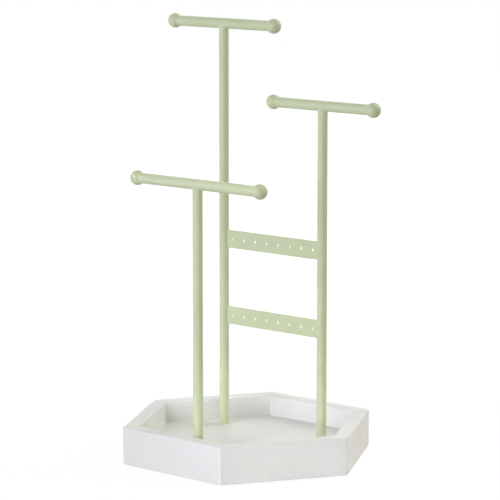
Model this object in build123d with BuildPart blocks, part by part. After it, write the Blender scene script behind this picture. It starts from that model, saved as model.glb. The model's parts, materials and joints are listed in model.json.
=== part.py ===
from build123d import *
import os
from math import cos, radians, sin, sqrt

# Jewellery stand: a hexagonal wooden tray with three welded T-shaped steel hangers standing in it.
# Millimetres. +Z is up, +Y is the back, and the origin is on the table under the middle of the tray.

# tray walls: the width is across two opposite walls
side_count = 6
tray_width = 180.0
wall_height = 30.0
wall_thickness = 11.5
corner_radius = 1.6
rim_radius = 1.0
wall_foot_radius = 0.5

# tray floor, a panel held in a groove round the inside of the walls
floor_thickness = 5.0
floor_recess = 8.0
groove_depth = 5.0
groove_play = 0.1

# splines that key the mitred corners together, pushed in from below
spline_thickness = 2.5
spline_width = 8.0
spline_height = 20.0
spline_inset = 1.0
spline_play = 0.1

# felt feet under the corners, with the inset from a wall's outside face to a foot's middle
foot_diameter = 6.0
foot_thickness = 1.0
foot_inset = 7.6

# hangers: margins are from the inside face of a wall to a post's axis, heights from the table to a
# bar's axis, the tall step from the middle bar's axis to the tall one's, and reaches from a post's
# axis to a ball's centre
front_post_margin = 20.0
back_post_margin = 49.0
side_post_margin = 18.5
post_diameter = 8.0
post_wall = 1.0
bar_diameter = 8.5
bar_wall = 1.0
front_height = 225.5
middle_height = 283.5
tall_step = 60.0
tall_reach = 53.5
middle_reach = 51.0
front_reach = 64.5
weld_gap = 0.05

# balls that plug the ends of the bars
ball_diameter = 12.0
spigot_length = 10.0
spigot_chamfer = 0.6
push_fit = 0.05

# earring strips between the two back posts, with heights from the table to the middle of a strip,
# and the margin from a post's axis to the nearest hole
upper_strip_height = 168.5
lower_strip_height = 105.5
strip_width = 15.0
strip_thickness = 1.2
strip_edge_radius = 0.35
earring_hole_diameter = 2.2
earring_hole_count = 8
earring_hole_margin = 9.4

# fixings: a screw from below clamps each post to the floor
thread_diameter = 4.0
thread_play = 0.05
screw_length = 16.0
screw_tip_chamfer = 0.5
head_diameter = 8.0
head_height = 2.8
head_rim_height = 1.0
recess_width = 4.2
recess_slot = 1.0
recess_depth = 1.6
washer_diameter = 10.0
washer_thickness = 1.0
clearance_hole_diameter = 4.5
insert_length = 12.0

# places worked out from the sizes above
flat_radius = tray_width / 2
inner_flat_radius = flat_radius - wall_thickness
groove_flat_radius = inner_flat_radius + groove_depth
half_angle = 180 / side_count
corner_stretch = 1 / cos(radians(half_angle))
wall_bottom = foot_thickness
floor_bottom = wall_bottom + floor_recess
floor_top = floor_bottom + floor_thickness
washer_bottom = floor_bottom - washer_thickness
spline_radius = groove_flat_radius * corner_stretch + spline_inset + spline_thickness / 2
foot_radius = (flat_radius - foot_inset) * corner_stretch
post_radius = post_diameter / 2
post_bore_radius = post_radius - post_wall
bar_radius = bar_diameter / 2
bar_bore_radius = bar_radius - bar_wall
ball_radius = ball_diameter / 2
ball_seat = sqrt(ball_radius**2 - bar_radius**2)
back_post_y = inner_flat_radius - back_post_margin
back_post_x = (inner_flat_radius - side_post_margin - back_post_y * sin(radians(half_angle))) * corner_stretch
tall_spot = (-back_post_x, back_post_y)
middle_spot = (back_post_x, back_post_y)
front_spot = (0, front_post_margin - inner_flat_radius)
all_spots = [tall_spot, middle_spot, front_spot]


def save(piece, name):
    piece.label = name
    export_step(piece, f"parts/{name}.step")


def level_plane(spot, height):
    return Plane(origin=(spot[0], spot[1], height))


def upright_plane(spot, height, toward=1):
    # local x runs along the bars, to the right or to the left, and local z faces the front
    return Plane(origin=(spot[0], spot[1], height), x_dir=(toward, 0, 0), z_dir=(0, -1, 0))


def across_plane(spot, height):
    # square to the bars, facing right
    return Plane(origin=(spot[0], spot[1], height), x_dir=(0, 1, 0), z_dir=(1, 0, 0))


def make_wall(name, facing):
    outward = (cos(radians(facing)), sin(radians(facing)), 0)
    wall_plane = Plane(origin=(0, 0, wall_bottom), x_dir=outward, z_dir=(0, 0, 1))
    wedge_reach = 2 * flat_radius
    wedge_half_width = wedge_reach * sin(radians(half_angle)) * corner_stretch
    with BuildPart() as wall:
        with BuildSketch(wall_plane) as plan:
            RegularPolygon(flat_radius, side_count, major_radius=False, rotation=half_angle)
            fillet(plan.vertices(), radius=corner_radius)
            RegularPolygon(
                inner_flat_radius, side_count, major_radius=False, rotation=half_angle, mode=Mode.SUBTRACT
            )
            with BuildLine():
                Polyline((0, 0), (wedge_reach, -wedge_half_width), (wedge_reach, wedge_half_width), close=True)
            make_face(mode=Mode.INTERSECT)
        extrude(amount=wall_height)
        top = wall.faces().sort_by(Axis.Z)[-1]
        fillet(long_edges(top, wall_plane.y_dir), radius=rim_radius)
        bottom = wall.faces().sort_by(Axis.Z)[0]
        fillet(long_edges(bottom, wall_plane.y_dir), radius=wall_foot_radius)
        with BuildSketch(wall_plane.offset(floor_recess - groove_play)):
            RegularPolygon(groove_flat_radius, side_count, major_radius=False, rotation=half_angle)
        extrude(amount=floor_thickness + 2 * groove_play, mode=Mode.SUBTRACT)
        with BuildSketch(Plane.XY.offset(wall_bottom)):
            with PolarLocations(spline_radius, side_count):
                Rectangle(spline_thickness + 2 * spline_play, spline_width + 2 * spline_play)
        extrude(amount=spline_height + spline_play, mode=Mode.SUBTRACT)
    save(wall.part, name)


def long_edges(face, run):
    # the edges of a wall's end face without the two mitred ones
    straight = face.edges().filter_by(GeomType.LINE)
    mitred = [edge for edge in straight if abs(edge.tangent_at(0.5).dot(run)) < 0.99]
    return [edge for edge in face.edges() if edge not in mitred]


def make_post(name, spot, bar_height):
    with BuildPart() as post:
        with BuildSketch(level_plane(spot, floor_top)):
            Circle(post_radius)
            Circle(post_bore_radius, mode=Mode.SUBTRACT)
        extrude(amount=bar_height - floor_top)
        # the top is coped to the underside of the bar
        with BuildSketch(across_plane(spot, bar_height)):
            Circle(bar_radius + weld_gap)
        extrude(amount=post_diameter, both=True, mode=Mode.SUBTRACT)
    save(post.part, name)


def make_bar(name, spot, height, reach):
    with BuildPart() as bar:
        with BuildSketch(across_plane(spot, height)):
            Circle(bar_radius)
            Circle(bar_bore_radius, mode=Mode.SUBTRACT)
        extrude(amount=reach - ball_seat, both=True)
    save(bar.part, name)


def make_ball(name, spot, height, reach, toward):
    centre = (spot[0] + toward * reach, spot[1])
    spigot_radius = bar_bore_radius - push_fit
    spigot_end = -ball_seat - spigot_length
    with BuildPart() as ball:
        with BuildSketch(upright_plane(centre, height, toward)):
            with BuildLine():
                Polyline(
                    (ball_radius, 0),
                    (spigot_end, 0),
                    (spigot_end, spigot_radius - spigot_chamfer),
                    (spigot_end + spigot_chamfer, spigot_radius),
                    (-ball_seat, spigot_radius),
                    (-ball_seat, bar_radius),
                )
                ThreePointArc((-ball_seat, bar_radius), (0, ball_radius), (ball_radius, 0))
            make_face()
        revolve(axis=Axis((centre[0], centre[1], height), (1, 0, 0)))
    save(ball.part, name)


def make_strip(name, height):
    centre = (0, back_post_y)
    hole_pitch = 2 * (back_post_x - earring_hole_margin) / (earring_hole_count - 1)
    with BuildPart() as strip:
        with BuildSketch(upright_plane(centre, height)):
            Rectangle(2 * back_post_x, strip_width)
        extrude(amount=strip_thickness / 2, both=True)
        fillet(strip.edges().filter_by(Axis.X), radius=strip_edge_radius)
        with BuildSketch(upright_plane(centre, height)):
            with GridLocations(hole_pitch, 0, earring_hole_count, 1):
                Circle(earring_hole_diameter / 2)
        extrude(amount=strip_thickness, both=True, mode=Mode.SUBTRACT)
        # the ends are coped to the sides of the two back posts
        with BuildSketch(level_plane((0, 0), height)):
            with Locations(tall_spot, middle_spot):
                Circle(post_radius + weld_gap)
        extrude(amount=strip_width, both=True, mode=Mode.SUBTRACT)
    save(strip.part, name)


def make_insert(name, spot):
    with BuildPart() as insert:
        with BuildSketch(level_plane(spot, floor_top)):
            Circle(post_bore_radius - push_fit)
            Circle(thread_diameter / 2 + thread_play, mode=Mode.SUBTRACT)
        extrude(amount=insert_length)
    save(insert.part, name)


def make_screws(name, spots):
    shank_radius = thread_diameter / 2
    head_radius = head_diameter / 2
    with BuildPart() as screws:
        for spot in spots:
            # the head's underside is at local height zero, with the shank above it
            with BuildSketch(upright_plane(spot, washer_bottom)):
                with BuildLine():
                    Polyline(
                        (0, -head_height),
                        (0, screw_length),
                        (shank_radius - screw_tip_chamfer, screw_length),
                        (shank_radius, screw_length - screw_tip_chamfer),
                        (shank_radius, 0),
                        (head_radius, 0),
                        (head_radius, -head_rim_height),
                    )
                    TangentArc((0, -head_height), (head_radius, -head_rim_height), tangent=(1, 0))
                make_face()
            revolve(axis=Axis((spot[0], spot[1], 0), (0, 0, 1)))
            with BuildSketch(level_plane(spot, washer_bottom - head_height)):
                Rectangle(recess_width, recess_slot)
                Rectangle(recess_slot, recess_width)
            extrude(amount=recess_depth, mode=Mode.SUBTRACT)
    save(screws.part, name)


os.makedirs("parts", exist_ok=True)

wall_facings = {
    "tray_wall_back_right": 30,
    "tray_wall_back": 90,
    "tray_wall_back_left": 150,
    "tray_wall_front_left": 210,
    "tray_wall_front": 270,
    "tray_wall_front_right": 330,
}
for wall_name, wall_facing in wall_facings.items():
    make_wall(wall_name, wall_facing)

with BuildPart() as tray_floor:
    with BuildSketch(Plane.XY.offset(floor_bottom)):
        RegularPolygon(groove_flat_radius - groove_play, side_count, major_radius=False)
        with Locations(*all_spots):
            Circle(clearance_hole_diameter / 2, mode=Mode.SUBTRACT)
    extrude(amount=floor_thickness)
save(tray_floor.part, "tray_floor")

with BuildPart() as corner_splines:
    with BuildSketch(Plane.XY.offset(wall_bottom)):
        with PolarLocations(spline_radius, side_count):
            Rectangle(spline_thickness, spline_width)
    extrude(amount=spline_height)
save(corner_splines.part, "corner_splines")

with BuildPart() as felt_feet:
    with BuildSketch():
        with PolarLocations(foot_radius, side_count):
            Circle(foot_diameter / 2)
    extrude(amount=foot_thickness)
save(felt_feet.part, "felt_feet")

hangers = {
    "tall": (tall_spot, middle_height + tall_step, tall_reach),
    "middle": (middle_spot, middle_height, middle_reach),
    "front": (front_spot, front_height, front_reach),
}
for hanger_name, (hanger_spot, hanger_height, hanger_reach) in hangers.items():
    make_post(f"{hanger_name}_post", hanger_spot, hanger_height)
    make_bar(f"{hanger_name}_bar", hanger_spot, hanger_height, hanger_reach)
    make_ball(f"{hanger_name}_ball_left", hanger_spot, hanger_height, hanger_reach, -1)
    make_ball(f"{hanger_name}_ball_right", hanger_spot, hanger_height, hanger_reach, 1)
    make_insert(f"{hanger_name}_post_insert", hanger_spot)

make_strip("upper_earring_strip", upper_strip_height)
make_strip("lower_earring_strip", lower_strip_height)

make_screws("frame_screws", [tall_spot, middle_spot])
make_screws("front_screw", [front_spot])

with BuildPart() as post_washers:
    with BuildSketch(Plane.XY.offset(washer_bottom)):
        with Locations(*all_spots):
            Circle(washer_diameter / 2)
        with Locations(*all_spots):
            Circle(clearance_hole_diameter / 2, mode=Mode.SUBTRACT)
    extrude(amount=washer_thickness)
save(post_washers.part, "post_washers")
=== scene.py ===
import json
from math import cos, pi, radians, sin

import bpy
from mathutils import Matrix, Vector

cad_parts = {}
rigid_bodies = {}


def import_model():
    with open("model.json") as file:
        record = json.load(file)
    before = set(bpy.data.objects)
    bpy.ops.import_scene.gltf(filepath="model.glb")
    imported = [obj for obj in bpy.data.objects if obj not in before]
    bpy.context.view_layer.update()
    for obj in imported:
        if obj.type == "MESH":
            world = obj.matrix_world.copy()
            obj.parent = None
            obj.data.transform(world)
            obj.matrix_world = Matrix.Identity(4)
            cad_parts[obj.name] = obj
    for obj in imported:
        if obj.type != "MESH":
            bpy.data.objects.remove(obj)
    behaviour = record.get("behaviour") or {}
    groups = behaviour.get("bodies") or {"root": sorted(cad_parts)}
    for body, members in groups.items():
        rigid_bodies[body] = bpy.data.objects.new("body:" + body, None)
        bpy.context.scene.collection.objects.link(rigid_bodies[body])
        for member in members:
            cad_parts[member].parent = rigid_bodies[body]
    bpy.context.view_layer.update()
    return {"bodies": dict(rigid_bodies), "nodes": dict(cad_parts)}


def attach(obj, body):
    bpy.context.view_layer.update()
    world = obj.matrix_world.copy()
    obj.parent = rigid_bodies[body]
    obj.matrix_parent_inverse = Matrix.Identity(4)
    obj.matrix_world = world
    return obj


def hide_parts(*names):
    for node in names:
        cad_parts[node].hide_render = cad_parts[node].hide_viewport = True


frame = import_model()
nodes = frame["nodes"]
scene = bpy.context.scene
mm = 0.001
print("frame loaded:", len(nodes), "nodes on", len(frame["bodies"]), "bodies")

# where the CAD has its posts, bars, strips, screws and feet
layout = {
    "postSpots": {
        "tall": (-52.25 * mm, 29.5 * mm),
        "middle": (52.25 * mm, 29.5 * mm),
        "front": (0.0, -58.5 * mm),
    },
    "barHeights": {"tall": 343.5 * mm, "middle": 283.5 * mm, "front": 225.5 * mm},
    "barReaches": {"tall": 53.5 * mm, "middle": 51.0 * mm, "front": 64.5 * mm},  # from post to ball
    "stripHeights": {"upper": 168.5 * mm, "lower": 105.5 * mm},
    "stripY": 29.5 * mm,
    "stripSeam": 48.33 * mm,  # from the middle to the weld at a strip's end
    "screwSeat": 8.0 * mm,
    "footInset": 7.6 * mm,  # from the tray's flats
}


class Wire:
    # an output socket that can stand in a sum: values add Math nodes, vectors add Vector Math nodes
    def __init__(self, graph, socket):
        self.graph = graph
        self.socket = socket

    def out(self, name):  # another output of the same node
        return Wire(self.graph, self.socket.node.outputs[name])

    def math(self, operation, other=0.0):
        return self.combine(operation, self, other)

    def combine(self, operation, first, second):
        isVector = any(isinstance(w, Wire) and w.socket.type == "VECTOR" for w in (first, second))
        kind = "ShaderNodeVectorMath" if isVector else "ShaderNodeMath"
        pair = [(w,) * 3 if isVector and isinstance(w, (int, float)) else w for w in (first, second)]
        return self.graph.node(kind, {"operation": operation}, {0: pair[0], 1: pair[1]})

    def __add__(self, other):
        return self.combine("ADD", self, other)

    def __sub__(self, other):
        return self.combine("SUBTRACT", self, other)

    def __rsub__(self, other):
        return self.combine("SUBTRACT", other, self)

    def __mul__(self, other):
        return self.combine("MULTIPLY", self, other)

    def __truediv__(self, other):
        return self.combine("DIVIDE", self, other)

    def __rtruediv__(self, other):
        return self.combine("DIVIDE", other, self)

    def __gt__(self, other):
        return self.combine("GREATER_THAN", self, other)

    def __lt__(self, other):
        return self.combine("LESS_THAN", self, other)

    def __neg__(self):
        return self * -1.0

    __radd__ = __add__
    __rmul__ = __mul__


class Graph:
    # a node tree of any kind
    def __init__(self, tree):
        self.tree = tree

    def node(self, kind, settings=None, sockets=None, out=0):
        made = self.tree.nodes.new(kind)
        for name, value in (settings or {}).items():
            setattr(made, name, value)
        for key, value in (sockets or {}).items():
            for one in value if isinstance(value, list) else [value]:
                if isinstance(one, Wire):
                    self.tree.links.new(one.socket, made.inputs[key])
                else:
                    made.inputs[key].default_value = one
        return Wire(self, made.outputs[out]) if made.outputs else None

    def vector(self, x, y, z):
        return self.node("ShaderNodeCombineXYZ", None, {"X": x, "Y": y, "Z": z})

    def length(self, vector):
        return self.node("ShaderNodeVectorMath", {"operation": "LENGTH"}, {0: vector}, "Value")

    def blend(self, factor, first, second):  # two colours
        return self.node("ShaderNodeMix", {"data_type": "RGBA"}, {0: factor, 6: first, 7: second}, 2)

    def attribute(self, name, out="Fac"):
        return self.node("ShaderNodeAttribute", {"attribute_name": name}, out=out)

    def place(self):  # object coordinates
        return self.node("ShaderNodeTexCoord", out="Object")

    def noise(self, place, scale, detail=2.0, roughness=0.5):
        sockets = {"Vector": place, "Scale": scale, "Detail": detail, "Roughness": roughness}
        return self.node("ShaderNodeTexNoise", None, sockets)

    def ramp(self, value, low, high):  # a smooth step from 0 at low to 1 at high
        sockets = {"Value": value, "From Min": low, "From Max": high}
        return self.node("ShaderNodeMapRange", {"interpolation_type": "SMOOTHSTEP"}, sockets)

    def bump(self, height, depth, strength=1.0):
        return self.node("ShaderNodeBump", None, {"Strength": strength, "Distance": depth, "Height": height})

    def mixShader(self, factor, first, second):
        return self.node("ShaderNodeMixShader", None, {0: factor, 1: first, 2: second})


def rgb(colour):
    return (*colour, 1.0)


def newMaterial(name):
    material = bpy.data.materials.new(name)
    material.use_nodes = True
    material.node_tree.nodes.clear()
    return material, Graph(material.node_tree)


def closeMaterial(graph, sockets):
    shader = graph.node("ShaderNodeBsdfPrincipled", None, sockets)
    graph.node("ShaderNodeOutputMaterial", None, {"Surface": shader})


# sage powder coat on all the steel that shows
sagePaint = {
    "colour": (0.650, 0.719, 0.481),
    "deepColour": (0.633, 0.703, 0.464),  # where the coat lies a little thicker
    "thinColour": (0.690, 0.756, 0.537),  # on the punched and sheared rims
    "thinShare": 0.25,
    "thinPeel": 0.5,  # more of it where the peel stands high
    "roughness": 0.25,
    "cloudRoughness": 0.10,
    "grainRoughness": 0.06,
    "specular": 0.25,
    "cloudScale": 34.0,
    "cloudRange": (0.35, 0.65),
    "peelScale": 780.0,  # orange peel of about a millimetre
    "peelDepth": 0.03 * mm,
    "peelStrength": 0.55,
    "grainScale": 3200.0,  # the powder itself
    "grainHeight": 0.3,  # as a share of the peel's
}


def makeSagePaint(look):
    material, graph = newMaterial("sagePaint")
    place = graph.place()
    cloud = graph.noise(place, look["cloudScale"], detail=3.0)
    peel = graph.noise(place, look["peelScale"], detail=1.0)
    grain = graph.noise(place, look["grainScale"], detail=1.0)
    deep = graph.ramp(cloud, *look["cloudRange"])
    thin = graph.attribute("thinCoat") * (look["thinShare"] + look["thinPeel"] * peel)
    coat = graph.blend(deep, rgb(look["colour"]), rgb(look["deepColour"]))
    coat = graph.blend(thin, coat, rgb(look["thinColour"]))
    relief = peel + look["grainHeight"] * grain
    sockets = {
        "Base Color": coat,
        "Roughness": look["roughness"] + look["cloudRoughness"] * cloud + look["grainRoughness"] * grain,
        "Normal": graph.bump(relief, look["peelDepth"], look["peelStrength"]),
        "Specular IOR Level": look["specular"],
    }
    closeMaterial(graph, sockets)
    return material


# white satin paint over wood: the walls carry their own grain place and mitre seam, whose sunk paint line is
# drawn darker as painted shade
whitePaint = {
    "colour": (0.848, 0.846, 0.842),
    "warmColour": (0.830, 0.826, 0.815),
    # painted shade: the colour of the sunk line along each mitre, drawn darker as if in shadow
    "seamColour": (0.640, 0.620, 0.585),
    "seamRange": (0.1, 1.0),
    "seamShare": 0.45,
    "seamGrain": 0.4,  # more of it where the grain stands high
    "roughness": 0.38,
    "cloudRoughness": 0.10,
    "sprayRoughness": 0.08,
    "specular": 0.25,
    "cloudScale": 26.0,
    "cloudRange": (0.3, 0.7),
    "grainStretch": (520.0, 22.0, 900.0),  # outward, along the wall, up
    "grainDepth": 0.022 * mm,
    "sprayScale": 1100.0,
    "sprayDepth": 0.012 * mm,
}
floorPaint = {**whitePaint, "grainStretch": (18.0, 420.0, 420.0)}  # the panel's grain runs along x


def makeWhitePaint(name, look, onWalls):
    material, graph = newMaterial(name)
    place = graph.attribute("grainPlace", "Vector") if onWalls else graph.place()
    grain = graph.noise(place * look["grainStretch"], 1.0, detail=3.0, roughness=0.6)
    spray = graph.noise(place, look["sprayScale"])
    cloud = graph.noise(place, look["cloudScale"], detail=3.0)
    warm = graph.ramp(cloud, *look["cloudRange"])
    coat = graph.blend(warm, rgb(look["colour"]), rgb(look["warmColour"]))
    if onWalls:
        # painted shade: the sunk paint line at each mitre is darkened as if shaded, a little more where the
        # grain stands high
        seam = graph.ramp(graph.attribute("seam"), *look["seamRange"])
        seam = seam * (look["seamShare"] + look["seamGrain"] * grain)
        coat = graph.blend(seam, coat, rgb(look["seamColour"]))
    relief = grain * look["grainDepth"] + spray * look["sprayDepth"]
    sockets = {
        "Base Color": coat,
        "Roughness": look["roughness"] + look["cloudRoughness"] * cloud + look["sprayRoughness"] * spray,
        "Normal": graph.bump(relief, 1.0),  # the relief is in metres already
        "Specular IOR Level": look["specular"],
    }
    closeMaterial(graph, sockets)
    return material


# plated steel of the screws, washers and inserts
zincSteel = {
    "colour": (0.60, 0.61, 0.62),
    "dullColour": (0.47, 0.48, 0.49),
    "roughness": 0.30,
    "bloomRoughness": 0.22,
    "ringRoughness": 0.10,
    "turningScale": 5200.0,  # turned rings per metre of radius
    "bloomScale": 420.0,
    "bloomRange": (0.35, 0.7),
    "bloomHeight": 0.4,  # as a share of the rings'
    "reliefDepth": 0.02 * mm,
    "reliefStrength": 0.6,
}


def makeZincSteel(look):
    material, graph = newMaterial("zincSteel")
    radius = graph.attribute("turnRadius")
    rings = graph.noise(graph.vector(radius, 0.0, 0.0), look["turningScale"])
    bloom = graph.noise(graph.place(), look["bloomScale"], detail=4.0, roughness=0.65)
    dull = graph.ramp(bloom, *look["bloomRange"])
    relief = rings + look["bloomHeight"] * bloom
    sockets = {
        "Base Color": graph.blend(dull, rgb(look["colour"]), rgb(look["dullColour"])),
        "Metallic": 1.0,
        "Roughness": look["roughness"] + look["bloomRoughness"] * bloom + look["ringRoughness"] * rings,
        "Normal": graph.bump(relief, look["reliefDepth"], look["reliefStrength"]),
    }
    closeMaterial(graph, sockets)
    return material


# pressed felt: pale fibres with a few dark ones
feltLook = {
    "colour": (0.82, 0.81, 0.79),
    "darkColour": (0.62, 0.61, 0.59),
    "darkRange": (0.16, 0.42),
    "roughness": 0.90,
    "matRoughness": 0.08,
    "sheen": 0.35,
    "matScale": 1500.0,
    "strandStretch": (900.0, 4200.0, 2400.0),
    "reliefDepth": 0.12 * mm,
}


def makeFelt(look):
    material, graph = newMaterial("pressedFelt")
    place = graph.place()
    mat = graph.noise(place, look["matScale"], detail=4.0, roughness=0.7)
    strand = graph.noise(place * look["strandStretch"], 1.0)
    pale = graph.ramp(mat * strand, *look["darkRange"])
    sockets = {
        "Base Color": graph.blend(pale, rgb(look["darkColour"]), rgb(look["colour"])),
        "Roughness": look["roughness"] + look["matRoughness"] * mat,
        "Normal": graph.bump(mat + strand, look["reliefDepth"]),
        "Sheen Weight": look["sheen"],
    }
    closeMaterial(graph, sockets)
    return material


# bare birch plywood of the keys in the mitres
plywoodLook = {
    "colour": (0.62, 0.46, 0.29),
    "darkColour": (0.42, 0.28, 0.16),
    "toneRange": (0.3, 0.8),
    "roughness": 0.62,
    "fibreRoughness": 0.2,
    "plyThickness": 0.8 * mm,
    "plyTone": 0.25,  # as a share of the fibres'
    "fibreStretch": (1800.0, 1800.0, 90.0),
    "reliefDepth": 0.05 * mm,
}


def makePlywood(look):
    material, graph = newMaterial("birchPlywood")
    place = graph.place()
    radius = graph.length(place * (1.0, 1.0, 0.0))
    ply = (radius * (2 * pi / look["plyThickness"])).math("SINE")
    fibre = graph.noise(place * look["fibreStretch"], 1.0, detail=3.0, roughness=0.6)
    tone = graph.ramp(ply * look["plyTone"] + fibre, *look["toneRange"])
    sockets = {
        "Base Color": graph.blend(tone, rgb(look["darkColour"]), rgb(look["colour"])),
        "Roughness": look["roughness"] + look["fibreRoughness"] * fibre,
        "Normal": graph.bump(fibre, look["reliefDepth"]),
    }
    closeMaterial(graph, sockets)
    return material


sageFinish = makeSagePaint(sagePaint)
wallFinish = makeWhitePaint("whiteWallPaint", whitePaint, True)
floorFinish = makeWhitePaint("whiteFloorPaint", floorPaint, False)
zincFinish = makeZincSteel(zincSteel)
feltFinish = makeFelt(feltLook)
plywoodFinish = makePlywood(plywoodLook)

slotFinish = {
    "sage_paint": sageFinish,
    "white_paint": floorFinish,
    "bare_wood": plywoodFinish,
    "zinc_steel": zincFinish,
    "felt": feltFinish,
}
for node in nodes.values():
    for slot in node.material_slots:
        slot.material = slotFinish[slot.material.name.split(".")[0]]
print("finishes:", ", ".join(material.name for material in slotFinish.values()), "and", wallFinish.name)


socketKinds = {
    float: "NodeSocketFloat",
    int: "NodeSocketInt",
    tuple: "NodeSocketVector",
    bpy.types.Material: "NodeSocketMaterial",
}
mergeDistance = 0.005 * mm
axisRadius = 0.001 * mm  # a turned section runs round a circle too small to see


class Shape(Graph):
    # a Geometry Nodes tree whose named inputs are the keys of a piece's settings
    def __init__(self, name, settings):
        super().__init__(bpy.data.node_groups.new(name, "GeometryNodeTree"))
        face = self.tree.interface
        face.new_socket("Geometry", in_out="INPUT", socket_type="NodeSocketGeometry")
        face.new_socket("Geometry", in_out="OUTPUT", socket_type="NodeSocketGeometry")
        for key, value in settings.items():
            face.new_socket(key, in_out="INPUT", socket_type=socketKinds[type(value)])
        self.start = self.node("NodeGroupInput")

    def __getitem__(self, key):
        return self.start.out(key)

    def position(self):
        return self.node("GeometryNodeInputPosition")

    def index(self):
        return self.node("GeometryNodeInputIndex")

    def split(self, vector):
        parts = self.node("ShaderNodeSeparateXYZ", None, {0: vector})
        return parts, parts.out("Y"), parts.out("Z")

    def axisDistance(self):  # from the z axis
        x, y, _ = self.split(self.position())
        return (x * x + y * y).math("SQRT")

    def setPosition(self, geometry, position):
        return self.node("GeometryNodeSetPosition", None, {"Geometry": geometry, "Position": position})

    def move(self, geometry, **how):
        named = {key.capitalize(): value for key, value in how.items()}
        return self.node("GeometryNodeTransform", None, {"Geometry": geometry, **named})

    def flip(self, mesh):
        return self.node("GeometryNodeFlipFaces", None, {"Mesh": mesh})

    def join(self, *parts):
        return self.node("GeometryNodeJoinGeometry", None, {0: list(reversed(parts))})

    def weld(self, geometry):
        sockets = {"Geometry": geometry, "Distance": mergeDistance}
        return self.node("GeometryNodeMergeByDistance", None, sockets)

    def realize(self, geometry):
        return self.node("GeometryNodeRealizeInstances", None, {"Geometry": geometry})

    def store(self, geometry, name, value, kind="FLOAT", domain="POINT"):
        settings = {"data_type": kind, "domain": domain}
        sockets = {"Geometry": geometry, "Name": name, "Value": value}
        return self.node("GeometryNodeStoreNamedAttribute", settings, sockets)

    def read(self, name, kind="FLOAT"):
        return self.node("GeometryNodeInputNamedAttribute", {"data_type": kind}, {"Name": name})

    def circle(self, radius, steps):
        return self.node("GeometryNodeCurvePrimitiveCircle", None, {"Resolution": steps, "Radius": radius})

    def line(self, start, end):
        return self.node("GeometryNodeCurvePrimitiveLine", None, {"Start": start, "End": end})

    def path(self, corners):  # straight lines from corner to corner, each an x and a y
        ends = [self.vector(*corner, 0.0) for corner in corners]
        return self.join(*[self.line(start, end) for start, end in zip(ends, ends[1:])])

    def rectangle(self, width, height):
        return self.node("GeometryNodeCurvePrimitiveQuadrilateral", None, {"Width": width, "Height": height})

    def fillet(self, curve, steps, radius):
        sockets = {"Curve": curve, "Count": steps, "Radius": radius}
        return self.node("GeometryNodeFilletCurve", {"mode": "POLY"}, sockets)

    def extrude(self, path, section, caps):
        sockets = {"Curve": path, "Profile Curve": section, "Fill Caps": caps}
        return self.node("GeometryNodeCurveToMesh", None, sockets)

    def sweep(self, path, section, caps=False):  # the section's x faces right of the path and its y up
        level = self.node("GeometryNodeSetCurveNormal", {"mode": "Z_UP"}, {"Curve": path})
        upright = self.move(section, rotation=(pi, 0.0, 0.0))
        return self.flip(self.extrude(level, upright, caps))

    def turn(self, section, steps):  # a half section about the z axis
        return self.weld(self.sweep(self.circle(axisRadius, steps), section))

    def repeat(self, points, shape, **how):
        named = {key.capitalize(): value for key, value in how.items()}
        return self.node("GeometryNodeInstanceOnPoints", None, {"Points": points, "Instance": shape, **named})

    def smooth(self, geometry, degrees=35):
        # rounded faces shade smoothly and edges above the angle stay sharp
        faces = {"Geometry": geometry, "Shade Smooth": True}
        rounded = self.node("GeometryNodeSetShadeSmooth", {"domain": "FACE"}, faces)
        sharp = self.node("GeometryNodeInputMeshEdgeAngle") > radians(degrees)
        edges = {"Geometry": rounded, "Selection": sharp, "Shade Smooth": False}
        return self.node("GeometryNodeSetShadeSmooth", {"domain": "EDGE"}, edges)

    def close(self, geometry):
        sockets = {"Geometry": self.realize(geometry), "Material": self["material"]}
        painted = self.node("GeometryNodeSetMaterial", None, sockets)
        self.node("NodeGroupOutput", None, {"Geometry": painted})
        return self


def grow(name, shape, settings, body, points=(), stands=()):
    # the tree runs once on the given points and its result becomes a plain mesh that rides its body
    base = bpy.data.meshes.new(name)
    base.from_pydata([Vector(point) for point in points], [], [])
    piece = bpy.data.objects.new(name, base)
    scene.collection.objects.link(piece)
    modifier = piece.modifiers.new(name, "NODES")
    modifier.node_group = shape.tree
    for item in shape.tree.interface.items_tree:
        if item.in_out == "INPUT" and item.name in settings:
            modifier[item.identifier] = settings[item.name]
    flats = piece.modifiers.new("flats", "WEIGHTED_NORMAL")  # large faces shade flat up to their roundings
    flats.keep_sharp = True
    depsgraph = bpy.context.evaluated_depsgraph_get()
    mesh = bpy.data.meshes.new_from_object(
        piece.evaluated_get(depsgraph), preserve_all_data_layers=True, depsgraph=depsgraph
    )
    piece.modifiers.clear()
    if mesh.materials[0] is None:  # joined parts bring an empty slot
        mesh.materials.pop(index=0)
    piece.data = mesh
    mesh.name = name
    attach(piece, body)
    if stands:
        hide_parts(*stands)
    print(f"  {name}: {len(mesh.polygons)} faces")
    return piece


# one wall of the hexagonal tray: a rounded section run between two mitres, with the mitre edges eased
trayWall = {
    "halfAngle": radians(30),
    "flatRadius": 90.0 * mm,
    "thickness": 11.5 * mm,
    "height": 30.0 * mm,
    "bottom": 1.0 * mm,
    "cornerRadius": 1.6 * mm,
    "cornerSteps": 6,
    "rimRadius": 1.0 * mm,
    "footRadius": 0.5 * mm,
    "roundSteps": 6,
    "easeWidth": 0.16 * mm,
    "easeDepth": 0.10 * mm,
    "facing": 0.0,
    "grainShift": 0.0,
    "material": wallFinish,
}


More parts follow.
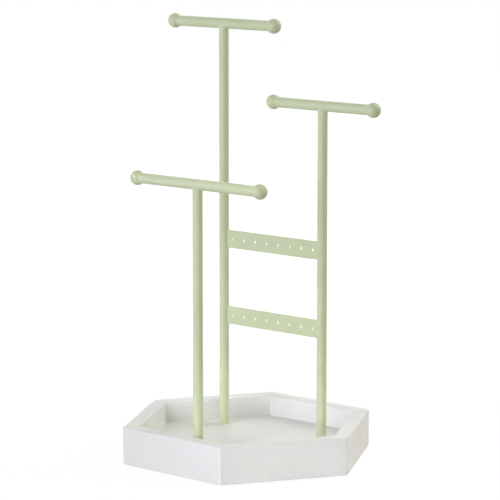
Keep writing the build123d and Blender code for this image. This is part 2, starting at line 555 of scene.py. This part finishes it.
def shapeTrayWall(settings):
    g = Shape("trayWall", settings)
    # the section: x from the inside face to the outside face, y up
    isTop = g.split(g.position())[1] > 0.0
    radius = g["footRadius"] + (g["rimRadius"] - g["footRadius"]) * isTop
    section = g.fillet(g.rectangle(g["thickness"], g["height"]), g["roundSteps"], radius)
    section = g.store(section, "section", g.position(), "FLOAT_VECTOR")
    rows = 2 * (g["cornerSteps"] + 2)
    unit = g.line((0, 0, 0), (1, 0, 0))
    run = g.node("GeometryNodeResampleCurve", None, {"Curve": unit, "Count": rows})
    run = g.store(run, "row", g.index())
    bar = g.sweep(run, section, True)
    # each row goes to its place: the first and last are the eased mitres, the next ones turn the corner
    row = g.read("row")
    fromEnd = row.math("MINIMUM", rows - 1 - row)
    eased = fromEnd < 0.5
    side = (row * 2 > rows - 1) * 2 - 1
    turned = (1 - (fromEnd - 1) / g["cornerSteps"]).math("MINIMUM", 1.0).math("MAXIMUM", 0.0)
    turn = g["halfAngle"] * turned
    across, up, _ = g.split(g.read("section", "FLOAT_VECTOR"))
    across = across * (1 - eased * (2 * g["easeDepth"] / g["thickness"]))
    up = up * (1 - eased * (2 * g["easeDepth"] / g["height"]))
    depth = g["thickness"] / 2 - across
    bend = (g["cornerRadius"] - depth).math("MAXIMUM", 0.0)
    inner = g["flatRadius"] - depth.math("MAXIMUM", g["cornerRadius"])
    straight = inner * g["halfAngle"].math("TANGENT")
    along = side * (straight + bend * turn.math("SINE") - g["easeWidth"] * (1 - eased))
    outward = g["flatRadius"] - depth - bend * (1 - turn.math("COSINE"))
    wall = g.setPosition(bar, g.vector(outward, along, g["bottom"] + g["height"] / 2 + up))
    wall = g.store(wall, "seam", eased)
    wall = g.store(wall, "grainPlace", g.position() + g.vector(0.0, g["grainShift"], 0.0), "FLOAT_VECTOR")
    wall = g.smooth(g.weld(wall))
    return g.close(g.move(wall, rotation=g.vector(0.0, 0.0, g["facing"])))


wallShape = shapeTrayWall(trayWall)
wallFacings = {
    "back_right": 30,
    "back": 90,
    "back_left": 150,
    "front_left": 210,
    "front": 270,
    "front_right": 330,
}
grainStep = 0.37  # no two walls show the same grain
for order, (side, facing) in enumerate(wallFacings.items()):
    settings = {**trayWall, "facing": radians(facing), "grainShift": grainStep * order}
    grow(f"painted_wall_{side}", wallShape, settings, "stand", stands=[f"tray_wall_{side}"])
print("tray walls made")


# earring strip: a sheared and punched flat with eased edges
earringStrip = {
    "length": 96.4 * mm,
    "width": 15.0 * mm,
    "thickness": 1.2 * mm,
    "holeDiameter": 2.2 * mm,
    "holeSteps": 32,
    "holeCount": 8,
    "holeSpan": 85.7 * mm,  # from the first hole to the last
    "edgeEase": 0.35 * mm,
    "holeEase": 0.22 * mm,
    "easeSteps": 9,
    "centre": (0.0, 0.0, 0.0),
    "material": sageFinish,
}


def shapeEarringStrip(settings):
    g = Shape("earringStrip", settings)
    outline = g.rectangle(g["length"] - 2 * g["edgeEase"], g["width"] - 2 * g["edgeEase"])
    spacing = {
        "Count": g["holeCount"],
        "Start Location": g.vector(-0.5 * g["holeSpan"], 0.0, 0.0),
        "Offset": g.vector(g["holeSpan"] / (g["holeCount"] - 1), 0.0, 0.0),
    }
    row = g.node("GeometryNodeMeshLine", None, spacing)
    hole = g.circle(g["holeDiameter"] / 2 + g["holeEase"], g["holeSteps"])
    holes = g.realize(g.repeat(row, hole))
    sheet = g.node("GeometryNodeFillCurve", {"mode": "NGONS"}, {"Curve": g.join(outline, holes)})
    half = g["thickness"] / 2
    front = g.move(sheet, translation=g.vector(0.0, 0.0, half))
    back = g.flip(g.move(sheet, translation=g.vector(0.0, 0.0, -half)))
    halfRound = {"Resolution": g["easeSteps"], "Radius": 1.0, "Start Angle": -pi / 2, "Sweep Angle": pi}
    bow = g.node("GeometryNodeCurveArc", {"mode": "RADIUS"}, halfRound)
    rim = g.sweep(outline, g.move(bow, scale=g.vector(g["edgeEase"], half, 1.0)))
    inside = g.node("GeometryNodeReverseCurve", None, {"Curve": holes})
    lips = g.sweep(inside, g.move(bow, scale=g.vector(g["holeEase"], half, 1.0)))
    rims = g.store(g.join(rim, lips), "thinCoat", 1.0, "FLOAT", "FACE")
    strip = g.smooth(g.weld(g.join(front, back, rims)), degrees=50)
    return g.close(g.move(strip, rotation=(pi / 2, 0.0, 0.0), translation=g["centre"]))


stripShape = shapeEarringStrip(earringStrip)
for level, height in layout["stripHeights"].items():
    settings = {**earringStrip, "centre": (0.0, layout["stripY"], height)}
    stands = [f"{level}_earring_strip"]
    grow(f"{level}_punched_strip", stripShape, settings, "stand", stands=stands)
print("earring strips made")


# cove of weld metal where a post runs into its bar
barWeld = {
    "postRadius": 4.0 * mm,
    "barRadius": 4.25 * mm,
    "leg": 1.1 * mm,
    "turnSteps": 72,
    "coveSteps": 32,
    "material": sageFinish,
}


def shapeBarWeld(settings):
    g = Shape("barWeld", settings)
    counts = {"Vertices X": g["turnSteps"] + 1, "Vertices Y": g["coveSteps"] + 1}
    ring = g.node("GeometryNodeMeshGrid", None, {"Size X": 1.0, "Size Y": 1.0, **counts})
    turn, sweep, _ = g.split(g.position() * (2 * pi))
    post, bar, leg = g["postRadius"], g["barRadius"], g["leg"]
    # the seam runs round the post along the bar's underside, and the cove is a quarter of an astroid
    c, s = turn.math("COSINE"), turn.math("SINE")
    down, out = sweep.math("COSINE"), sweep.math("SINE")
    down, out = down * down * down, out * out * out
    seam = (s * post / bar).math("ARCSINE")
    edge = seam + s * leg / bar
    x = c * (post + leg * out)
    y = s * post + (bar * edge.math("SINE") - s * post) * out
    z = bar * seam.math("COSINE") * (out - 1) - bar * edge.math("COSINE") * out - leg * down
    cove = g.smooth(g.weld(g.setPosition(ring, g.vector(x, y, z))), degrees=60)
    return g.close(g.repeat(g.start, cove))


weldShape = shapeBarWeld(barWeld)
barPoints = {name: (*spot, layout["barHeights"][name]) for name, spot in layout["postSpots"].items()}
grow("frame_bar_welds", weldShape, barWeld, "stand", [barPoints["tall"], barPoints["middle"]])
grow("front_bar_weld", weldShape, barWeld, "front_hanger", [barPoints["front"]])


# ball that closes the end of a bar, with a bead of paint in the crease between them
ballEnd = {
    "ballRadius": 6.0 * mm,
    "barRadius": 4.25 * mm,
    "leg": 0.4 * mm,
    "divisions": 5,
    "turnSteps": 64,
    "creaseSteps": 8,
    "material": sageFinish,
}


def shapeBallEnd(settings):
    g = Shape("ballEnd", settings)
    radius, bar, leg = g["ballRadius"], g["barRadius"], g["leg"]
    ball = g.node("GeometryNodeMeshIcoSphere", None, {"Radius": radius, "Subdivisions": g["divisions"]})
    # half section of the bead: x is the radius and y runs from the ball's centre along the bar
    seat = (radius * radius - bar * bar).math("SQRT")
    lean = (bar / radius).math("ARCSINE") + leg / radius
    onBar = g.vector(bar, seat + leg, 0.0)
    onBall = g.vector(radius * lean.math("SINE"), radius * lean.math("COSINE"), 0.0)
    inside = g.vector(bar - leg / 2, seat - leg / 2, 0.0)
    ends = {"Start": onBall, "Middle": g.vector(bar, seat, 0.0), "End": onBar}
    crease = g.node("GeometryNodeCurveQuadraticBezier", None, {"Resolution": g["creaseSteps"], **ends})
    bead = g.turn(g.join(crease, g.line(onBar, inside), g.line(inside, onBall)), g["turnSteps"])
    end = g.smooth(g.join(ball, bead), degrees=60)
    # the points come in pairs, a left ball and then a right one
    side = 1 - g.index().math("MODULO", 2.0) * 2
    return g.close(g.repeat(g.start, end, rotation=g.vector(0.0, side * (pi / 2), 0.0)))


ballShape = shapeBallEnd(ballEnd)


def growBalls(name, body, *hangers):
    points, stands = [], []
    for hanger in hangers:
        x, y, z = barPoints[hanger]
        reach = layout["barReaches"][hanger]
        points += [(x - reach, y, z), (x + reach, y, z)]
        stands += [f"{hanger}_ball_left", f"{hanger}_ball_right"]
    grow(name, ballShape, ballEnd, body, points, stands)


growBalls("frame_ball_ends", "stand", "tall", "middle")
growBalls("front_ball_ends", "front_hanger", "front")


# small coves down both faces of each strip end
stripWeld = {
    "leg": 0.7 * mm,
    "length": 14.2 * mm,
    "steps": 48,
    "material": sageFinish,
}


def shapeStripWeld(settings):
    g = Shape("stripWeld", settings)
    c, s, _ = g.split(g.position())
    astroid = g.vector(c * c * c * g["leg"], s * s * s * g["leg"], 0.0)
    section = g.setPosition(g.circle(1.0, g["steps"]), astroid)
    run = g.line(g.vector(0.0, 0.0, g["length"] * -0.5), g.vector(0.0, 0.0, g["length"] * 0.5))
    cove = g.smooth(g.extrude(run, section, True), degrees=60)
    return g.close(g.repeat(g.start, cove))


stripSeams = [
    (side * layout["stripSeam"], layout["stripY"] + face * earringStrip["thickness"] / 2, height)
    for height in layout["stripHeights"].values()
    for side in (-1, 1)
    for face in (-1, 1)
]
grow("strip_welds", shapeStripWeld(stripWeld), stripWeld, "stand", stripSeams)
print("welds made")


# pan head screw with a rolled thread, head down under the tray floor
panScrew = {
    "threadRadius": 2.0 * mm,
    "coreRadius": 1.62 * mm,
    "pitch": 0.7 * mm,
    "length": 16.0 * mm,
    "pointLength": 0.6 * mm,
    "pointTaper": 0.5 * mm,
    "threadStart": 0.4 * mm,
    "threadShort": 1.2 * mm,  # the thread is shorter than the shank by this
    "threadFlat": 0.62,
    "threadSteps": 24,
    "headRadius": 4.0 * mm,
    "headHeight": 2.8 * mm,
    "headEase": 0.25 * mm,
    "rimHeight": 1.0 * mm,
    "crownHandle": 0.62,  # how far the dome stays flat, as a share of the head's radius
    "sideHandle": 1.5,  # how far it stays upright, as a share of the rim's height
    "domeSteps": 12,
    "turnSteps": 48,
    "recessWidth": 4.2 * mm,
    "recessSlot": 1.0 * mm,
    "recessDepth": 1.6 * mm,
    "material": zincFinish,
}


def shapePanScrew(settings):
    g = Shape("panScrew", settings)
    zero = 0.0
    # half section: x is the radius and y the height, with the underside of the head at zero
    rim, head, core, tip = g["rimHeight"], g["headRadius"], g["coreRadius"], g["length"]
    crown, ease = -g["headHeight"], g["headEase"]
    handles = {
        "Resolution": g["domeSteps"],
        "Start": g.vector(zero, crown, zero),
        "Start Handle": g.vector(head * g["crownHandle"], crown, zero),
        "End Handle": g.vector(head, -(rim * g["sideHandle"]), zero),
        "End": g.vector(head, -rim, zero),
    }
    dome = g.node("GeometryNodeCurvePrimitiveBezierSegment", {"mode": "POSITION"}, handles)
    corners = [
        (head, -rim),
        (head, -ease),
        (head - ease, zero),
        (core, zero),
        (core, tip - g["pointLength"]),
        (core - g["pointTaper"], tip),
        (zero, tip),
    ]
    turned = g.smooth(g.turn(g.join(dome, g.path(corners)), g["turnSteps"]), degrees=28)
    # the cross recess is cut from below
    width, gap, depth = g["recessWidth"], g["recessSlot"], g["recessDepth"] * 2
    sizes = [g.vector(width, gap, depth), g.vector(gap, width, depth)]
    wings = [g.node("GeometryNodeMeshCube", None, {"Size": size}) for size in sizes]
    cross = g.move(g.join(*wings), translation=g.vector(zero, zero, crown))
    meshes = {"Mesh 1": turned, "Mesh 2": cross, "Self Intersection": True}
    cut = g.node("GeometryNodeMeshBoolean", {"operation": "DIFFERENCE", "solver": "EXACT"}, meshes)
    # the thread is a flattened diamond that winds up the shank
    threaded = tip - g["threadShort"]
    winding = {
        "Resolution": g["threadSteps"],
        "Rotations": threaded / g["pitch"],
        "Start Radius": core,
        "End Radius": core,
        "Height": threaded,
    }
    helix = g.node("GeometryNodeCurveSpiral", None, winding)
    ridge = g.move(g.circle(g["threadRadius"] - core, 4), scale=g.vector(1.0, g["threadFlat"], 1.0))
    thread = g.move(g.sweep(helix, ridge, True), translation=g.vector(zero, zero, g["threadStart"]))
    screw = g.store(g.join(cut, thread), "turnRadius", g.axisDistance())
    return g.close(g.repeat(g.start, screw))


screwShape = shapePanScrew(panScrew)
screwPoints = {name: (*spot, layout["screwSeat"]) for name, spot in layout["postSpots"].items()}
backPoints = [screwPoints["tall"], screwPoints["middle"]]
frontPoints = [screwPoints["front"]]
grow("frame_pan_screws", screwShape, panScrew, "stand", backPoints, ["frame_screws"])
grow("front_pan_screw", screwShape, panScrew, "front_hanger", frontPoints, ["front_screw"])


# stamped washer with one rounded and one sharp edge
flatWasher = {
    "outerRadius": 5.0 * mm,
    "holeRadius": 2.25 * mm,
    "thickness": 1.0 * mm,
    "ease": 0.22 * mm,
    "sharpShare": 0.2,  # of the ease, on the sharp side
    "easeSteps": 4,
    "turnSteps": 56,
    "material": zincFinish,
}


def shapeFlatWasher(settings):
    g = Shape("flatWasher", settings)
    width = g["outerRadius"] - g["holeRadius"]
    isLow = g.split(g.position())[1] < 0.0
    radius = g["ease"] * (g["sharpShare"] + (1 - g["sharpShare"]) * isLow)
    section = g.fillet(g.rectangle(width, g["thickness"]), g["easeSteps"], radius)
    ring = g.smooth(g.sweep(g.circle(g["holeRadius"] + width / 2, g["turnSteps"]), section))
    ring = g.store(ring, "turnRadius", g.axisDistance())
    ring = g.move(ring, translation=g.vector(0.0, 0.0, g["thickness"] / 2))
    return g.close(g.repeat(g.start, ring))


washerShape = shapeFlatWasher(flatWasher)
washerPoints = screwPoints.values()
grow("stamped_washers", washerShape, flatWasher, "stand", washerPoints, ["post_washers"])
print("fixings made")


# felt foot: a punched disc with loose fibres round its edge
feltFoot = {
    "radius": 3.0 * mm,
    "thickness": 1.0 * mm,
    "ease": 0.3 * mm,
    "edgeLow": -0.35,  # the edge stands upright between these shares of half the thickness
    "edgeHigh": 0.5,
    "turnSteps": 40,
    "fibreCount": 70,
    "fibreLength": 0.55 * mm,
    "fibreRadius": 0.014 * mm,
    "fibreLean": 0.4,  # how far a fibre's tip leans and rises, as shares of its length
    "fibreRise": 0.75,
    "fibreTwist": (0.6, 0.6, 3.1),
    "shortest": 0.4,
    "seed": 11,
    "material": feltFinish,
}


def shapeFeltFoot(settings):
    g = Shape("feltFoot", settings)
    half, radius, ease, seed = g["thickness"] / 2, g["radius"], g["ease"], g["seed"]
    corners = [
        (0.0, -half),
        (radius - ease, -half),
        (radius, half * g["edgeLow"]),
        (radius, half * g["edgeHigh"]),
        (radius - ease * 0.5, half),
        (0.0, half),
    ]
    disc = g.smooth(g.turn(g.path(corners), g["turnSteps"]), degrees=60)
    disc = g.move(disc, translation=g.vector(0.0, 0.0, half))
    scattering = {
        "Mesh": disc,
        "Selection": g.axisDistance() > radius - ease * 2,
        "Density": g["fibreCount"] / (2 * pi * radius * g["thickness"]),
        "Seed": seed,
    }
    scatter = g.node("GeometryNodeDistributePointsOnFaces", {"distribute_method": "RANDOM"}, scattering)
    length = g["fibreLength"]
    ends = {
        "Start": (0.0, 0.0, 0.0),
        "Middle": g.vector(0.0, 0.0, length * 0.5),
        "End": g.vector(length * g["fibreLean"], 0.0, length * g["fibreRise"]),
    }
    bend = g.node("GeometryNodeCurveQuadraticBezier", None, {"Resolution": 3, **ends})
    fibre = g.extrude(bend, g.circle(g["fibreRadius"], 3), True)
    twists = {0: -g["fibreTwist"], 1: g["fibreTwist"], "Seed": seed}
    spin = g.node("FunctionNodeRandomValue", {"data_type": "FLOAT_VECTOR"}, twists)
    turns = {0: scatter.out("Rotation"), 1: spin}
    lean = g.node("FunctionNodeRotateRotation", {"rotation_space": "LOCAL"}, turns)
    lengths = {2: g["shortest"], 3: 1.0, "Seed": seed}
    size = g.node("FunctionNodeRandomValue", {"data_type": "FLOAT"}, lengths, 1)
    fuzz = g.repeat(scatter, fibre, rotation=lean, scale=size)
    feet = g.realize(g.repeat(g.start, g.join(disc, fuzz)))
    # nothing goes through the table or up into the wall
    x, y, z = g.split(g.position())
    kept = g.vector(x, y, z.math("MAXIMUM", 0.0).math("MINIMUM", g["thickness"]))
    return g.close(g.setPosition(feet, kept))


footRing = (trayWall["flatRadius"] - layout["footInset"]) / cos(trayWall["halfAngle"])
footAngles = [radians(60 * i) for i in range(6)]
footPoints = [(footRing * cos(angle), footRing * sin(angle), 0.0) for angle in footAngles]
grow("fuzzy_feet", shapeFeltFoot(feltFoot), feltFoot, "stand", footPoints, ["felt_feet"])
print("felt feet made")


# pale table top: white to the camera, with the stand's own soft shadow left in it
tableTop = {
    "size": 6.0,
    "height": -0.02 * mm,  # just clear of the feet
    "colour": (0.55, 0.55, 0.535),
    "white": 0.84,  # the share of plain white near the stand
    "glow": 1.12,
    "fade": (0.20, 0.55),  # from this far out to this far it turns all white
}


def seenPaths(graph):  # 1 for the rays that show the white background
    rays = graph.node("ShaderNodeLightPath", out="Is Camera Ray")
    seen = rays.math("MAXIMUM", rays.out("Is Transmission Ray"))
    return seen.math("MAXIMUM", rays.out("Is Glossy Ray"))


def makeTable(look):
    half, z = look["size"] / 2, look["height"]
    corners = [(-half, -half, z), (half, -half, z), (half, half, z), (-half, half, z)]
    mesh = bpy.data.meshes.new("tableTop")
    mesh.from_pydata(corners, [], [(0, 1, 2, 3)])
    table = bpy.data.objects.new("tableTop", mesh)
    scene.collection.objects.link(table)
    material, graph = newMaterial("tableTop")
    far = graph.length(graph.place())
    white = look["white"] + (1 - look["white"]) * graph.ramp(far, *look["fade"])
    matte = graph.node("ShaderNodeBsdfDiffuse", None, {"Color": rgb(look["colour"])})
    glow = graph.node("ShaderNodeEmission", None, {"Color": (1, 1, 1, 1), "Strength": look["glow"]})
    top = graph.mixShader(seenPaths(graph) * white, matte, glow)
    # from below the table isn't there
    clear = graph.node("ShaderNodeBsdfTransparent")
    under = graph.node("ShaderNodeNewGeometry", out="Backfacing")
    graph.node("ShaderNodeOutputMaterial", None, {"Surface": graph.mixShader(under, top, clear)})
    mesh.materials.append(material)


makeTable(tableTop)


# soft studio light: a cool key box on the left, a warm one behind on the right, plain boxes round about
studio = {
    "surround": (1.0, 0.99, 0.97),
    "surroundStrength": 0.10,
    "coolWhite": (0.83, 0.865, 0.985),
    "plainWhite": (1.0, 1.0, 1.0),
    "warmWhite": (1.0, 0.97, 0.84),
    "aim": (0.0, 0.0, 0.2),
    "distance": 2.4,
    "size": 1.7,
    "spread": 180,
    "tint": "plainWhite",
    "lamps": {
        "leftBox": {"azimuth": -23, "elevation": 10, "size": 0.9, "power": 19.6, "tint": "coolWhite"},
        "frontBox": {"azimuth": 10, "elevation": 18, "power": 22.8},
        "rightBox": {"azimuth": 75, "elevation": 18, "power": 1.0},
        "backRightBox": {"azimuth": 150, "elevation": 30, "power": 34.5, "tint": "warmWhite"},
        "backLeftBox": {"azimuth": -150, "elevation": 30, "power": 7.0},
        "topBox": {"azimuth": 180, "elevation": 60, "power": 8.8},
    },
    # small boxes with honeycomb grids, which light the tray alone
    "gridDistance": 1.7,
    "grids": {
        "wallGrid": {
            "azimuth": 60, "elevation": 2, "power": 0.0104, "size": 0.12, "spread": 3,
            "aim": (0.0, 0.0, 0.0),
        },
        "sideGrid": {
            "azimuth": 60, "elevation": 6, "power": 0.0260, "size": 0.25, "spread": 14,
            "aim": (0.0, 0.0, 0.01),
        },
        "backGrid": {
            "azimuth": 0, "elevation": 42, "power": 0.0250, "size": 0.25, "spread": 9,
            "aim": (0.01, 0.055, 0.02),
        },
    },
}


def lightStudio(look):
    world = bpy.data.worlds.new("studio")
    scene.world = world
    world.use_nodes = True
    world.node_tree.nodes.clear()
    graph = Graph(world.node_tree)
    dim = {"Color": rgb(look["surround"]), "Strength": look["surroundStrength"]}
    around = graph.node("ShaderNodeBackground", None, dim)
    white = graph.node("ShaderNodeBackground", None, {"Color": (1, 1, 1, 1), "Strength": 1.0})
    both = graph.mixShader(seenPaths(graph), around, white)
    graph.node("ShaderNodeOutputWorld", None, {"Surface": both})
    grids = {name: {"distance": look["gridDistance"], **grid} for name, grid in look["grids"].items()}
    for name, own in {**look["lamps"], **grids}.items():
        lamp = {**look, **own}  # a lamp's own values come before the studio's
        light = bpy.data.lights.new(name, "AREA")
        light.energy = lamp["power"]
        light.color = look[lamp["tint"]]
        light.size = lamp["size"]
        light.spread = radians(lamp["spread"])
        azimuth, elevation = radians(lamp["azimuth"]), radians(lamp["elevation"])
        level = cos(elevation)
        back = Vector((sin(azimuth) * level, -cos(azimuth) * level, sin(elevation)))
        box = bpy.data.objects.new(name, light)
        box.location = Vector(lamp["aim"]) + back * lamp["distance"]
        box.rotation_euler = back.to_track_quat("Z", "Y").to_euler()
        scene.collection.objects.link(box)


lightStudio(studio)


# camera at the photograph's place, for a square picture
camera = {
    "place": (1.34201, -1.50155, 0.48210),
    "aim": (0.00126, 0.00112, 0.16746),
    "lens": 184.787,
    "sensor": 36.0,
    "clip": (0.01, 50.0),
}


def setCamera(look):
    lens = bpy.data.cameras.new("camera")
    lens.lens, lens.sensor_width, lens.sensor_fit = look["lens"], look["sensor"], "AUTO"
    lens.clip_start, lens.clip_end = look["clip"]
    eye = bpy.data.objects.new("camera", lens)
    eye.location = look["place"]
    sight = Vector(look["aim"]) - Vector(look["place"])
    eye.rotation_euler = sight.to_track_quat("-Z", "Y").to_euler()
    scene.collection.objects.link(eye)
    scene.camera = eye


setCamera(camera)
scene.view_settings.view_transform = "Standard"
print("studio, table and camera set")
